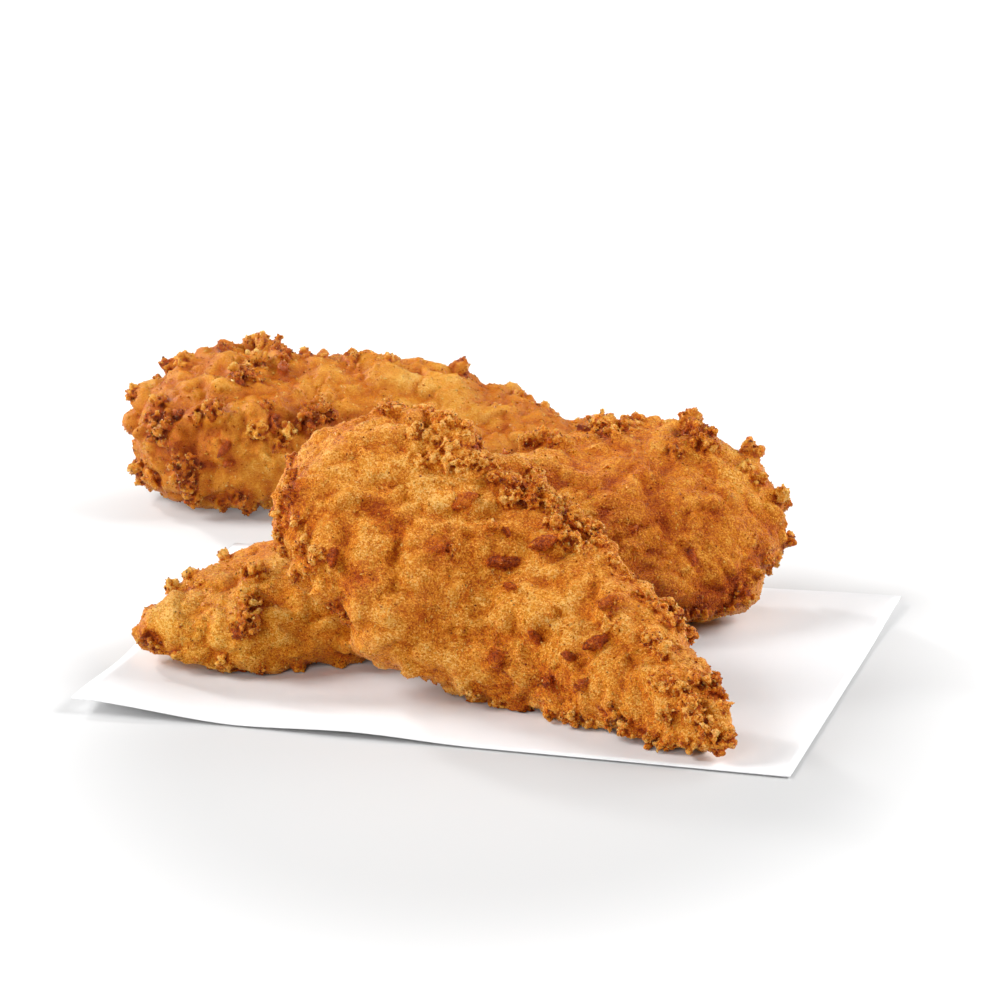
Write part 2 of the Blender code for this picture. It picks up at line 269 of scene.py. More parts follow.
# Crags in the photograph: pixel across and down, radius in pixels, and how brown (0 to 1)
FRONT_CRAGS = [
    (385, 405, 11, 0.5), (400, 413, 10, 0.55), (412, 424, 9, 0.45), (425, 415, 12, 0.36),
    (445, 420, 13, 0.33), (462, 432, 12, 0.38), (474, 444, 9, 0.9), (420, 462, 7, 0.4), (432, 456, 7, 0.35),
    (414, 434, 8, 0.45), (432, 438, 8, 0.35), (450, 446, 8, 0.45),
    (448, 462, 7, 0.35), (462, 466, 7, 0.4), (478, 460, 8, 0.35), (492, 466, 8, 0.45),
    (495, 478, 8, 0.65), (512, 486, 12, 0.85), (530, 476, 10, 0.45), (540, 492, 10, 0.7),
    (508, 500, 9, 0.25), (530, 502, 10, 0.75), (550, 505, 9, 0.6), (292, 462, 8, 0.7),
    (294, 478, 9, 0.85), (290, 495, 9, 0.8), (281, 512, 8, 0.55), (282, 528, 8, 0.6),
    (298, 520, 6, 0.55), (285, 548, 9, 0.6), (303, 545, 10, 0.5), (318, 555, 8, 0.55),
    (314, 570, 8, 0.7), (295, 575, 7, 0.6), (336, 604, 8, 0.9), (348, 617, 7, 0.75),
    (560, 503, 10, 0.45), (575, 520, 12, 0.6), (590, 532, 12, 0.65), (600, 545, 8, 0.6),
    (552, 525, 10, 0.7), (566, 537, 9, 0.6), (582, 548, 8, 0.5), (612, 560, 7, 0.5),
    (628, 578, 7, 0.5), (642, 597, 8, 0.7), (655, 605, 7, 0.55), (675, 622, 9, 0.45),
    (653, 642, 11, 0.45), (667, 651, 8, 0.55), (659, 678, 10, 0.45), (671, 688, 9, 0.45),
    (684, 692, 8, 0.5), (695, 678, 9, 0.7), (712, 684, 10, 0.8), (721, 697, 8, 0.75),
    (724, 708, 8, 0.6), (690, 703, 10, 0.5), (669, 714, 9, 0.45), (700, 722, 11, 0.45),
    (711, 736, 10, 0.5), (728, 737, 8, 0.6), (718, 747, 7, 0.6), (690, 742, 9, 0.6),
    (668, 742, 9, 0.65), (650, 737, 8, 0.65), (630, 727, 10, 0.6), (612, 714, 12, 0.65),
    (590, 722, 8, 0.55), (570, 716, 8, 0.6), (550, 711, 7, 0.65), (522, 715, 10, 0.75),
    (512, 706, 9, 0.75), (495, 699, 8, 0.6), (610, 626, 7, 0.35), (451, 551, 5, 0.85),
]
CROSSING_CRAGS = [
    (172, 586, 6, 0.25), (190, 575, 7, 0.3), (200, 584, 6, 0.3), (225, 560, 6, 0.35),
    (254, 574, 10, 0.5), (250, 604, 13, 0.45), (245, 626, 12, 0.8), (149, 637, 9, 0.7),
    (158, 648, 7, 0.65), (178, 656, 6, 0.6), (225, 661, 7, 0.6), (262, 668, 7, 0.6),
    (300, 669, 6, 0.55), (340, 667, 6, 0.6), (506, 454, 5, 0.95), (528, 443, 9, 0.5),
    (542, 434, 8, 0.5), (556, 440, 8, 0.65), (602, 424, 12, 0.4), (612, 436, 9, 0.45),
    (628, 428, 7, 0.45), (690, 418, 9, 0.75), (697, 432, 13, 0.75), (704, 440, 12, 0.75),
    (676, 450, 8, 0.55), (712, 446, 8, 0.7), (748, 446, 8, 0.5), (759, 450, 6, 0.8),
    (745, 468, 7, 0.35), (757, 482, 7, 0.4), (783, 493, 7, 0.55), (788, 503, 5, 0.6),
    (786, 541, 6, 0.8), (768, 560, 6, 0.8), (757, 574, 6, 0.8), (744, 594, 9, 0.8),
    (733, 604, 7, 0.85), (718, 608, 7, 0.9), (700, 612, 6, 0.9), (684, 616, 6, 0.95),
]
REAR_CRAGS = [
    (223, 348, 6, 0.9), (183, 358, 7, 0.5), (170, 366, 7, 0.8), (252, 344, 8, 0.5),
    (261, 339, 7, 0.5), (275, 344, 7, 0.7), (284, 357, 8, 0.85), (306, 352, 5, 0.7),
    (323, 355, 5, 0.55), (351, 355, 6, 0.5), (387, 360, 5, 0.5), (256, 364, 12, 0.3),
    (238, 377, 9, 0.8), (254, 378, 8, 0.75), (159, 403, 8, 0.7), (153, 419, 9, 0.75),
    (175, 417, 9, 0.9), (162, 432, 12, 0.75), (215, 411, 10, 0.9), (197, 417, 8, 0.75),
    (258, 431, 10, 0.5), (268, 405, 6, 0.75), (288, 431, 8, 0.3), (280, 445, 6, 0.75),
    (316, 419, 18, 0.8), (155, 476, 10, 0.55), (185, 468, 15, 0.85), (189, 485, 10, 0.9),
    (195, 497, 7, 0.75), (221, 503, 8, 0.75), (240, 500, 8, 0.9), (248, 508, 7, 0.9),
    (461, 366, 8, 0.9), (520, 396, 7, 0.45), (545, 407, 7, 0.45),
]

# Flat flakes: pixel across and down, length and width in pixels, turn in degrees anticlockwise, how brown
FRONT_FLAKES = [
    (503, 562, 36, 12, -3, 0.9), (541, 544, 34, 17, 15, 0.8), (512, 588, 18, 9, -35, 0.8),
    (463, 499, 28, 15, 25, 0.65), (491, 527, 12, 16, 80, 0.6), (507, 533, 13, 5, -50, 0.95),
    (333, 560, 26, 10, 82, 0.8), (594, 644, 27, 15, 25, 0.9), (568, 655, 16, 9, -20, 0.85),
    (535, 636, 18, 8, -38, 0.85), (581, 684, 17, 14, 40, 0.8), (499, 659, 18, 16, 60, 0.75),
    (608, 604, 22, 13, 35, 0.7), (549, 683, 14, 11, 20, 0.85), (438, 550, 14, 9, 20, 0.75),
]
CROSSING_FLAKES = [
    (690, 559, 24, 5, 52, 0.85), (633, 531, 12, 5, 45, 0.75), (580, 429, 12, 6, -35, 0.95),
    (240, 634, 16, 9, 45, 0.9), (330, 606, 16, 13, 60, 0.85),
]
REAR_FLAKES = [
    (223, 450, 22, 8, 55, 0.85), (282, 372, 20, 12, 80, 0.75), (274, 421, 11, 7, 60, 0.85),
    (229, 462, 12, 7, 20, 0.75),
]

# Spikes, pointed scraps, in the same way
FRONT_SPIKES = [
    (278, 512, 10, 8, 150, 0.6), (384, 408, 12, 10, 110, 0.7), (728, 738, 9, 8, -20, 0.6),
]
CROSSING_SPIKES = [
    (687, 424, 14, 13, 110, 0.7), (759, 449, 10, 7, 20, 0.85), (630, 432, 12, 7, 20, 0.45),
    (752, 568, 10, 8, -60, 0.5), (741, 596, 10, 9, -40, 0.8), (686, 612, 10, 8, -110, 0.95),
]
REAR_SPIKES = [
    (172, 370, 16, 12, 150, 0.85), (183, 362, 16, 9, 105, 0.35), (224, 352, 15, 10, 120, 0.9),
    (261, 346, 16, 10, 85, 0.45), (276, 348, 13, 8, 70, 0.7), (307, 357, 9, 8, 60, 0.6),
    (352, 360, 8, 9, 80, 0.4), (155, 476, 12, 12, 200, 0.45), (192, 494, 14, 11, -85, 0.6),
    (275, 428, 12, 8, 110, 0.8),
]

# Stains and painted light: pixel across and down, radius in pixels, and how much darker brown the crust is
# there (lighter below 0). Most mark browning; some on the crossing and rear tenders are painted shade and
# painted light that even out how the lamps fall
FRONT_STAINS = [
    (375, 504, 13, 0.25), (394, 523, 14, 0.22), (356, 577, 16, 0.28), (438, 550, 12, 0.25),
    (549, 684, 14, 0.3), (608, 604, 14, 0.22), (499, 659, 16, 0.25), (295, 485, 14, 0.3),
    (520, 492, 18, 0.22), (465, 445, 10, 0.3), (520, 712, 16, 0.3), (640, 735, 18, 0.22),
    (715, 690, 14, 0.25), (440, 480, 40, -0.16), (560, 610, 30, -0.08), (345, 470, 28, -0.12),
    (330, 610, 18, 0.25), (690, 700, 34, -0.04), (292, 500, 24, 0.12),
]
# The crossing tender's list holds painted shade along the front tender's rim and on its brightly lit face,
# and painted light on its left arm, which the front tender shades
CROSSING_STAINS_AND_PAINTED_LIGHT = [
    (245, 625, 15, 0.25), (149, 638, 14, 0.25), (735, 590, 22, 0.25), (759, 558, 16, 0.25),
    (700, 606, 20, 0.28), (768, 530, 12, 0.15), (585, 540, 16, 0.12), (610, 565, 16, 0.18),
    (545, 480, 14, 0.12), (640, 592, 18, 0.25), (700, 435, 16, 0.25), (604, 514, 8, 0.25),
    (300, 668, 40, 0.15),
    (650, 510, 60, 0.13), (735, 470, 26, -0.11), (190, 612, 50, -0.08), (665, 597, 20, 0.22),
    (280, 628, 45, -0.16),
]
# The rear tender's list holds painted light and shade that even out how the lamps fall on it
REAR_STAINS_AND_PAINTED_LIGHT = [
    (175, 440, 30, 0.2), (190, 482, 26, 0.03), (240, 500, 18, 0.07), (316, 420, 20, 0.25),
    (215, 380, 24, -0.08), (260, 465, 26, -0.17), (430, 385, 50, -0.1), (340, 385, 30, -0.08),
    (165, 415, 20, 0.2),
]

# Smooth mounds beyond the solid's outline: pixel across and down, radius in pixels, and how brown
FRONT_MOUNDS = [(412, 420, 12, 0.3), (430, 421, 13, 0.28), (448, 427, 13, 0.28), (464, 439, 11, 0.3)]
REAR_MOUNDS = [(136, 422, 14, 0.4)]

# Pulls: pixel across and down, radius in pixels, and how many pixels the skin is drawn right and up there
FRONT_PULLS = [(740, 700, 26, -11, 0), (264, 478, 28, 12, 0), (308, 622, 36, 27, 4)]
CROSSING_PULLS = [(784, 580, 22, -17, 3), (228, 546, 26, 0, -8)]

# Each tender's look: fineness says how strong the finest relief and mottling are; tint multiplies colours,
# for the tender's own hue and, as painted shade, to darken a tender that the lamps light too brightly
Look = namedtuple("Look", "crags flakes spikes mounds stains pulls tone seed fineness tint")
LOOKS = {
    "tender_front": Look(FRONT_CRAGS, FRONT_FLAKES, FRONT_SPIKES, FRONT_MOUNDS, FRONT_STAINS, FRONT_PULLS,
                         0.30, 5, 1.0, (0.975, 1.01, 1.10)),
    "tender_crossing": Look(CROSSING_CRAGS, CROSSING_FLAKES, CROSSING_SPIKES, [], CROSSING_STAINS_AND_PAINTED_LIGHT,
                            CROSSING_PULLS, 0.33, 6, 0.9, (0.91, 0.96, 0.88)),
    "tender_rear": Look(REAR_CRAGS, REAR_FLAKES, REAR_SPIKES, REAR_MOUNDS, REAR_STAINS_AND_PAINTED_LIGHT, [],
                        0.37, 7, 0.4, (0.74, 0.82, 0.90)),
}


def varied(span, draw, count=None, power=1.0):
    """Random values, by the least one and how much more. A higher power makes large ones rarer."""
    least, more = span
    return least + more * draw.random(count) ** power


def back_vector(azimuth, elevation):
    """From what the camera looks at towards the camera."""
    a, e = math.radians(azimuth), math.radians(elevation)
    return Vector((math.sin(a) * math.cos(e), -math.cos(a) * math.cos(e), math.sin(e)))


def add_aimed(name, data, target, azimuth, elevation, distance):
    """A camera or a lamp that looks at a target from a distance."""
    back = back_vector(azimuth, elevation)
    obj = add_object(name, data)
    obj.location = target + back * distance
    obj.rotation_mode = "QUATERNION"
    obj.rotation_quaternion = (-back).to_track_quat("-Z", "Y")
    return obj


def add_camera():
    lens = bpy.data.cameras.new("camera")
    lens.sensor_width = SENSOR
    lens.lens = LENS
    lens.clip_start = 0.05
    camera = add_aimed("camera", lens, CAMERA_TARGET, CAMERA_AZIMUTH, CAMERA_ELEVATION, CAMERA_DISTANCE)
    bpy.context.scene.camera = camera
    bpy.context.view_layer.update()
    return camera


class Sight:
    """Carries pixels of the photograph into the scene, and points back into the photograph."""

    def __init__(self, camera):
        self.place = camera.location.copy()
        turn = camera.rotation_quaternion.to_matrix()
        self.right, self.up, self.back = turn.col[0], turn.col[1], turn.col[2]
        self.focal = PICTURE_SIZE * LENS / SENSOR

    def ray(self, across, down):
        """The direction of sight through a pixel."""
        half = 0.5 * PICTURE_SIZE
        way = self.right * (across - half) + self.up * (half - down) - self.back * self.focal
        return way.normalized()

    def along(self, turn):
        """A direction in the picture, by its turn in degrees anticlockwise."""
        angle = math.radians(turn)
        return self.right * math.cos(angle) + self.up * math.sin(angle)

    def pixels(self, points):
        """Where points (an array) show in the photograph."""
        off = points - np.array(self.place)
        depth = -off @ np.array(self.back)
        across = 0.5 * PICTURE_SIZE + self.focal * (off @ np.array(self.right)) / depth
        down = 0.5 * PICTURE_SIZE - self.focal * (off @ np.array(self.up)) / depth
        return np.stack([across, down], axis=1)

    def pixel_size(self, point):
        """How long a pixel is at a point."""
        return (self.place - point).dot(self.back) / self.focal


class Skin:
    """A closed triangle mesh as arrays, with a tree that finds its nearest point."""

    def __init__(self, mesh):
        self.points = coordinates(mesh)
        self.normals = coordinates(mesh, "normal")
        mesh.calc_loop_triangles()
        self.faces = np.empty((len(mesh.loop_triangles), 3), np.int32)
        mesh.loop_triangles.foreach_get("vertices", self.faces.ravel())
        a, b, c = (self.points[self.faces[:, k]] for k in range(3))
        across = np.cross(b - a, c - a)
        self.areas = 0.5 * np.linalg.norm(across, axis=1)
        self.face_normals = across / np.maximum(2 * self.areas, 1e-12)[:, None]
        self.tree = BVHTree.FromPolygons(self.points.tolist(), self.faces.tolist())

    def scatter(self, count, draw, weights=None):
        """Random places on the skin, with their normals and their faces."""
        share = self.areas if weights is None else self.areas * weights
        picked = draw.choice(len(self.faces), count, p=share / share.sum())
        u, v = draw.random((2, count))
        turned = u + v > 1
        u[turned], v[turned] = 1 - u[turned], 1 - v[turned]
        a, b, c = (self.points[self.faces[picked, k]] for k in range(3))
        places = a + (b - a) * u[:, None] + (c - a) * v[:, None]
        return places, self.face_normals[picked], picked

    def seen_at(self, sight, across, down):
        """The place that shows at a pixel, or nearest to it, and its normal."""
        hit, normal, _, _ = self.tree.ray_cast(sight.place, sight.ray(across, down))
        if hit is not None:
            return hit, normal
        facing = self.normals @ np.array(sight.back) > 0
        away = np.linalg.norm(sight.pixels(self.points) - (across, down), axis=1)
        nearest = int(np.argmin(np.where(facing, away, np.inf)))
        return Vector(self.points[nearest]), Vector(self.normals[nearest])


class Shell:
    """A mesh whose points are smoothed and moved as arrays."""

    def __init__(self, mesh):
        self.mesh = mesh
        self.points = coordinates(mesh)
        self.ends = np.empty((len(mesh.edges), 2), np.int64)
        mesh.edges.foreach_get("vertices", self.ends.ravel())
        self.count = np.bincount(self.ends.ravel(), minlength=len(mesh.vertices))

    def smoothed(self, values, steps, share=0.5):
        """Values drawn step by step towards the mean of their neighbours."""
        values = values.copy()
        for _ in range(steps):
            mean = np.empty_like(values)
            for k in range(values.shape[1]):
                column = values[:, k]
                total = np.bincount(self.ends[:, 0], column[self.ends[:, 1]], len(values))
                total += np.bincount(self.ends[:, 1], column[self.ends[:, 0]], len(values))
                mean[:, k] = total / self.count
            values += share * (mean - values)
        return values

    def move(self, points):
        self.points = points
        self.mesh.vertices.foreach_set("co", np.ascontiguousarray(points, np.float32).ravel())
        self.mesh.update()
        self.normals = coordinates(self.mesh, "normal")


def coordinates(mesh, what="co"):
    values = np.empty((len(mesh.vertices), 3))
    mesh.vertices.foreach_get(what, values.ravel())
    return values


def mesh_from_arrays(name, points, faces):
    mesh = bpy.data.meshes.new(name)
    mesh.vertices.add(len(points))
    mesh.vertices.foreach_set("co", np.ascontiguousarray(points, np.float32).ravel())
    mesh.loops.add(faces.size)
    mesh.loops.foreach_set("vertex_index", np.ascontiguousarray(faces, np.int32).ravel())
    mesh.polygons.add(len(faces))
    mesh.polygons.foreach_set("loop_start", np.arange(0, faces.size, faces.shape[1], dtype=np.int32))
    mesh.update(calc_edges=True)
    return mesh


def add_object(name, data):
    obj = bpy.data.objects.new(name, data)
    bpy.context.scene.collection.objects.link(obj)
    return obj


def merged_mesh(node):
    """A node's mesh with the corners that its file keeps apart joined again."""
    made = bmesh.new()
    made.from_mesh(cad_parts[node].data)
    bmesh.ops.remove_doubles(made, verts=made.verts, dist=1e-6)
    mesh = bpy.data.meshes.new(node + "_merged")
    made.to_mesh(mesh)
    made.free()
    return mesh


def voxel_mesh(mesh, size, triangles=None):
    """The outer surface remade of even faces, thinned out to a number of triangles."""
    obj = add_object("to_remesh", mesh)
    remesh = obj.modifiers.new("voxels", "REMESH")
    remesh.mode = "VOXEL"
    remesh.voxel_size = size
    if triangles:
        graph = bpy.context.evaluated_depsgraph_get()
        made = len(obj.evaluated_get(graph).data.polygons) * 2
        thin = obj.modifiers.new("thinned", "DECIMATE")
        thin.ratio = min(1.0, triangles / made)
    graph = bpy.context.evaluated_depsgraph_get()
    result = bpy.data.meshes.new_from_object(obj.evaluated_get(graph))
    bpy.data.objects.remove(obj)
    return result


def drop_scraps(mesh):
    """Leaves only the mesh's largest piece."""
    made = bmesh.new()
    made.from_mesh(mesh)
    left = set(made.verts)
    best = set()
    while left:
        piece = {left.pop()}
        rim = list(piece)
        while rim:
            for edge in rim.pop().link_edges:
                for vertex in edge.verts:
                    if vertex not in piece:
                        piece.add(vertex)
                        rim.append(vertex)
        left -= piece
        best = max(best, piece, key=len)
    bmesh.ops.delete(made, geom=[v for v in made.verts if v not in best], context="VERTS")
    made.to_mesh(mesh)
    made.free()


def set_point_values(mesh, name, values):
    layer = mesh.attributes.new(name, "FLOAT", "POINT")
    layer.data.foreach_set("value", np.ascontiguousarray(values, np.float32))


def shade_smooth(mesh):
    mesh.polygons.foreach_set("use_smooth", np.ones(len(mesh.polygons), bool))


def ball():
    """A ball one unit across, as points and triangles."""
    made = bmesh.new()
    bmesh.ops.create_icosphere(made, subdivisions=2, radius=0.5)
    points = np.array([vertex.co[:] for vertex in made.verts])
    faces = np.array([[vertex.index for vertex in face.verts] for face in made.faces])
    made.free()
    return points, faces


def octahedron():
    """An eight-sided stone one unit across."""
    points = 0.5 * np.array([(1, 0, 0), (-1, 0, 0), (0, 1, 0), (0, -1, 0), (0, 0, 1), (0, 0, -1)], float)
    ring = (0, 2, 1, 3)
    sides = [(ring[k], ring[(k + 1) % 4]) for k in range(4)]
    return points, np.array([(a, b, 4) for a, b in sides] + [(b, a, 5) for a, b in sides])


def frames_on(normals, spins):
    """For each normal, three axes: two along the surface, turned by the spin, and one out of it."""
    lean = np.where(np.abs(normals[:, 2:3]) < 0.9, [[0.0, 0.0, 1.0]], [[1.0, 0.0, 0.0]])
    first = np.cross(lean, normals)
    first /= np.linalg.norm(first, axis=1)[:, None]
    second = np.cross(normals, first)
    c, s = np.cos(spins)[:, None], np.sin(spins)[:, None]
    return np.stack([first * c + second * s, second * c - first * s, normals], axis=1)


def lumps(base, places, axes, sizes, jitter, draw):
    """Many uneven copies of a base shape, as points and faces."""
    points, faces = base
    count = len(places)
    swell = 1 + np.reshape(jitter, (-1, 1, 1)) * draw.standard_normal((count, len(points), 1))
    local = points[None] * np.clip(swell, 0.4, 1.7) * sizes[:, None, :]
    world = np.einsum("nki,nij->nkj", local, axes) + places[:, None, :]
    shifted = faces[None] + (np.arange(count) * len(points))[:, None, None]
    return world.reshape(-1, 3), shifted.reshape(-1, faces.shape[1])


def crowded(place, size, grown):
    """Whether a nodule would run too far into one that has grown already."""
    return any((place - other).length < NODULE_GAP * 0.5 * (size + wide) for other, wide in grown)


class Heap:
    """The lumps that a tender's crust gets, and how brown each one is."""

    def __init__(self, skin, sight, draw):
        self.skin = skin
        self.sight = sight
        self.draw = draw
        self.parts = []

    def add(self, places, normals, sizes, browns, hold):
        """Lumps at any turn on the surface. Their own tone covers the crust's by the hold."""
        spins = self.draw.random(len(places)) * 2 * math.pi
        self.add_turned(places, frames_on(normals, spins), sizes, browns, hold)

    def add_turned(self, places, axes, sizes, browns, hold):
        self.parts.append((places, axes, sizes, browns, np.full(len(places), hold)))

    def arrays(self):
        return tuple(np.concatenate(values) for values in zip(*self.parts))

    def found(self, across, down):
        """What shows nearest to a pixel, its normal, and the point over it at the pixel."""
        foot, normal = self.skin.seen_at(self.sight, across, down)
        way = self.sight.ray(across, down)
        return foot, normal, self.sight.place + way * (foot - self.sight.place).dot(way)

    def upright(self, count):
        return np.repeat([self.sight.up[:]], count, axis=0)

    def nodule_shape(self, size):
        return [size, size * varied(NODULE_WIDTH, self.draw), size * varied(NODULE_HEIGHT, self.draw)]

    def nodule_tones(self, brown, count):
        spread = NODULE_SPREAD * self.draw.standard_normal(count)
        return np.clip(NODULE_TONE * brown + spread, PALEST_NODULE, 1.0)

    def crag(self, across, down, radius, brown):
        """A heap of nodules at a pixel, or a clump where the pixel lies beyond the outline."""
        foot, normal, centre = self.found(across, down)
        radius *= self.sight.pixel_size(foot)
        if (centre - foot).length < CLUMP_START * radius:
            self.crag_at(foot, normal, radius, brown)
        else:
            self.clump(foot, centre, radius, brown)

    def mound(self, across, down, radius, brown):
        """A smooth ball at a pixel, joined to the surface by a second one."""
        foot, _, centre = self.found(across, down)
        width = 2 * radius * self.sight.pixel_size(foot)
        places = np.array([centre[:], foot.lerp(centre, 0.5)[:]])
        self.add(places, self.upright(2), np.full((2, 3), width), np.full(2, brown), MOUND_HOLD)

    def clump(self, foot, centre, radius, brown):
        """A ball of nodules that stands off the surface on a stalk."""
        places, shape, grown = [], [], []
        for share, width in CLUMP_STALK:
            places.append(foot.lerp(centre, share))
            shape.append([width * radius] * 3)
        for _ in range(int(CLUMP_TRIES * (radius / MM) ** 2) + CLUMP_TRIES):
            way = Vector(self.draw.standard_normal(3)).normalized()
            place = centre + way * radius * varied(CLUMP_LIFT, self.draw)
            size = varied(CLUMP_NODULE, self.draw) * MM
            if crowded(place, size, grown):
                continue
            grown.append((place, size))
            places.append(place)
            shape.append(self.nodule_shape(size))
        tones = self.nodule_tones(brown, len(places))
        self.add(np.array(places), self.upright(len(places)), np.array(shape), tones, CLUMP_HOLD)

    def on_dome(self, centre, first, second, radius):
        """A random place in a crag's reach, its normal, and the dome's height there."""
        angle = 2 * math.pi * self.draw.random()
        reach = CRAG_REACH * math.sqrt(self.draw.random())
        x, y = reach * math.cos(angle), reach * math.sin(angle)
        near, out, _, _ = self.skin.tree.find_nearest(centre + (first * x + second * y) * radius)
        return near, out, math.sqrt(max(0.0, 1 - min(reach, 1.0) ** 2))

    def crag_at(self, centre, normal, radius, brown):
        """A dome of nodules that stand side by side, over a blunt core."""
        first = normal.orthogonal().normalized()
        second = normal.cross(first)
        rise = radius * varied(CRAG_RISE, self.draw)
        places, normals = [centre + normal * (0.05 * rise)], [normal]
        shape = [[CRAG_CORE[0] * radius, CRAG_CORE[1] * radius, CRAG_CORE[2] * rise]]
        growth = min(1.25, NODULE_GROWTH[0] + NODULE_GROWTH[1] * radius / MM)
        grown = []
        for _ in range(int(CRAG_TRIES * (radius / MM) ** 2) + LEAST_TRIES):
            near, out, dome = self.on_dome(centre, first, second, radius)
            place = near + out * rise * dome * varied(CRAG_LIFT, self.draw)
            size = varied(CRAG_NODULE, self.draw, power=2.0) * MM * growth
            size *= RIM_NODULE[0] + RIM_NODULE[1] * dome
            if crowded(place, size, grown):
                continue
            grown.append((place, size))
            places.append(place)
            normals.append(out)
            shape.append(self.nodule_shape(size))
        tones = self.nodule_tones(brown, len(places))
        self.add(np.array(places), np.array(normals), np.array(shape), tones, CRAG_HOLD)

    def spike(self, across, down, length, width, turn, brown):
        """A pointed scrap of crust that stands off the surface."""
        centre, normal = self.skin.seen_at(self.sight, across, down)
        scale = self.sight.pixel_size(centre)
        way = self.sight.along(turn)
        parts = 5
        steps = np.arange(parts) / (parts - 1)
        places = np.array([centre[:]]) + (0.8 * steps * length * scale)[:, None] * np.array([way[:]])
        taper = width * scale * (1.15 - 0.85 * steps)
        size = np.stack([np.full(parts, 0.5 * length * scale), taper, 0.8 * taper], axis=1)
        side = way.cross(normal).normalized()
        axes = np.array([[way[:], side.cross(way)[:], side[:]]])
        tones = np.clip(brown + 0.08 * self.draw.standard_normal(parts), 0, 1)
        self.add_turned(places, np.repeat(axes, parts, axis=0), size, tones, SPIKE_HOLD)

    def flake(self, across, down, length, width, turn, brown):
        """One flat flake that lies on the crust."""
        centre, normal = self.skin.seen_at(self.sight, across, down)
        scale = self.sight.pixel_size(centre)
        along = self.sight.along(turn)
        along = (along - normal * along.dot(normal)).normalized()
        axes = np.array([[along[:], normal.cross(along)[:], normal[:]]])
        parts = 7
        steps = (np.arange(parts) / (parts - 1) - 0.5)[:, None]
        middle = centre + normal * max(0.0007, 0.34 * width * scale)
        places = np.array([middle]) + steps * np.array([along]) * length * scale * 0.68
        places += self.draw.standard_normal((parts, 3)) * 0.00016
        narrowing = 1 - 0.6 * np.abs(2 * steps[:, 0]) ** 2
        long = np.full(parts, 0.36 * length * scale)
        thick = np.full(parts, max(0.0016, 0.85 * width * scale))
        size = np.stack([long, width * scale * narrowing, thick], axis=1)
        tones = np.clip(brown + 0.06 * self.draw.standard_normal(parts), 0, 1)
        self.add_turned(places, np.repeat(axes, parts, axis=0), size, tones, FLAKE_HOLD)

    def far_crags(self):
        """Clusters of crags on the side away from the camera."""
        turned_away = (self.skin.face_normals @ np.array(self.sight.back) < FAR_SIDE).astype(float)
        middles, _, _ = self.skin.scatter(FAR_CLUSTERS, self.draw, turned_away)
        for middle in np.repeat(middles, CRAGS_IN_CLUSTER, axis=0):
            near = Vector(middle + CLUSTER_SPREAD * self.draw.standard_normal(3))
            centre, out, _, _ = self.skin.tree.find_nearest(near)
            radius = varied(FAR_CRAG_RADIUS, self.draw) * MM
            self.crag_at(centre, out, radius, varied(FAR_CRAG_TONE, self.draw))

    def granules(self, seed):
        """Small grains in patches all over the skin."""
        places, outs, _ = self.skin.scatter(GRANULES, self.draw)
        patch = noise_at(places, GRANULE_PATCH, seed * 2.3)
        thick = patch + GRANULE_STRAYING * self.draw.standard_normal(len(places)) > 0.0
        places, outs = places[thick], outs[thick]
        size = varied(GRANULE_SIZE, self.draw, len(places), 2.5)[:, None] * MM * np.array(STONE_SHAPE)
        self.add(places, outs, size, varied(GRANULE_TONE, self.draw, len(places)), GRANULE_HOLD)


def noise_at(points, size, shift):
    """Smooth noise from -1 to 1 at each point."""
    scaled = points / size + shift
    return np.array([noise.noise(Vector(p)) for p in scaled])


def layered_noise(points, layers, shift, folded=False):
    """Noise of several widths added up. Folded noise makes billows with creases."""
    total = np.zeros(len(points))
    for width, step, weight in layers:
        layer = noise_at(points, width, shift + step)
        total += weight * (np.abs(layer) if folded else layer)
    return total


def batter_swell(points, seed):
    """How far the batter swells out or sinks in at each point, in round billows."""
    swell = np.zeros(len(points))
    for width, shift, height in BILLOWS:
        swell += height * np.abs(noise_at(points, width, seed * shift))
    return SWELL_LIMIT * np.tanh((swell - BILLOW_DROP) / SWELL_LIMIT)


def pulled(points, pulls, sight):
    """Points drawn sideways in the picture, so that an outline meets the photograph's."""
    for across, down, radius, right, up in pulls:
        away = np.linalg.norm(sight.pixels(points) - (across, down), axis=1)
        way = (sight.right * right + sight.up * up) * CAMERA_DISTANCE / sight.focal
        points = points + np.exp(-((away / radius) ** 2))[:, None] * np.array(way)
    return points


def rest_height(node, x):
    """How low a crust may reach: the table, the sheet's top, or the raised left tip."""
    if node == "tender_rear":
        return np.full(len(x), FLOOR_CLEARANCE)
    if node == "tender_front":
        return np.full(len(x), SHEET_TOP)
    share = np.clip((TIP_START - x) / TIP_REACH, 0, 1)
    return SHEET_TOP + TIP_RISE * share * share * (3 - 2 * share)


def between_rests(points, lowest):
    """Points kept above the lowest height, and drawn together softly near the ceiling."""
    points = points.copy()
    over = np.maximum(points[:, 2] - CEILING, 0)
    points[:, 2] = np.minimum(points[:, 2], CEILING) + CEILING_ROOM * np.tanh(over / CEILING_ROOM)
    points[:, 2] = np.maximum(points[:, 2], lowest)
    return points


def uneven_skin(node, sight):
    """The tender's solid, smoothed, with the batter's rounded unevenness."""
    look = LOOKS[node]
    shell = Shell(voxel_mesh(merged_mesh(node), BASE_VOXEL))
    shell.move(pulled(shell.smoothed(shell.points, BASE_SMOOTHING), look.pulls, sight))
    points = shell.points + shell.normals * batter_swell(shell.points, look.seed)[:, None]
    points[:, 2] = np.maximum(points[:, 2], rest_height(node, points[:, 0]))
    shell.move(points)
    return Skin(shell.mesh)


def heaped(look, skin, sight, draw):
    """Every lump of a tender's crust: places, axes, sizes, tones and holds."""
    heap = Heap(skin, sight, draw)
    for crag in look.crags:
        heap.crag(*crag)
    for flake in look.flakes:
        heap.flake(*flake)
    for spike in look.spikes:
        heap.spike(*spike)
    for mound in look.mounds:
        heap.mound(*mound)
    heap.far_crags()
    heap.granules(look.seed)
    return heap.arrays()


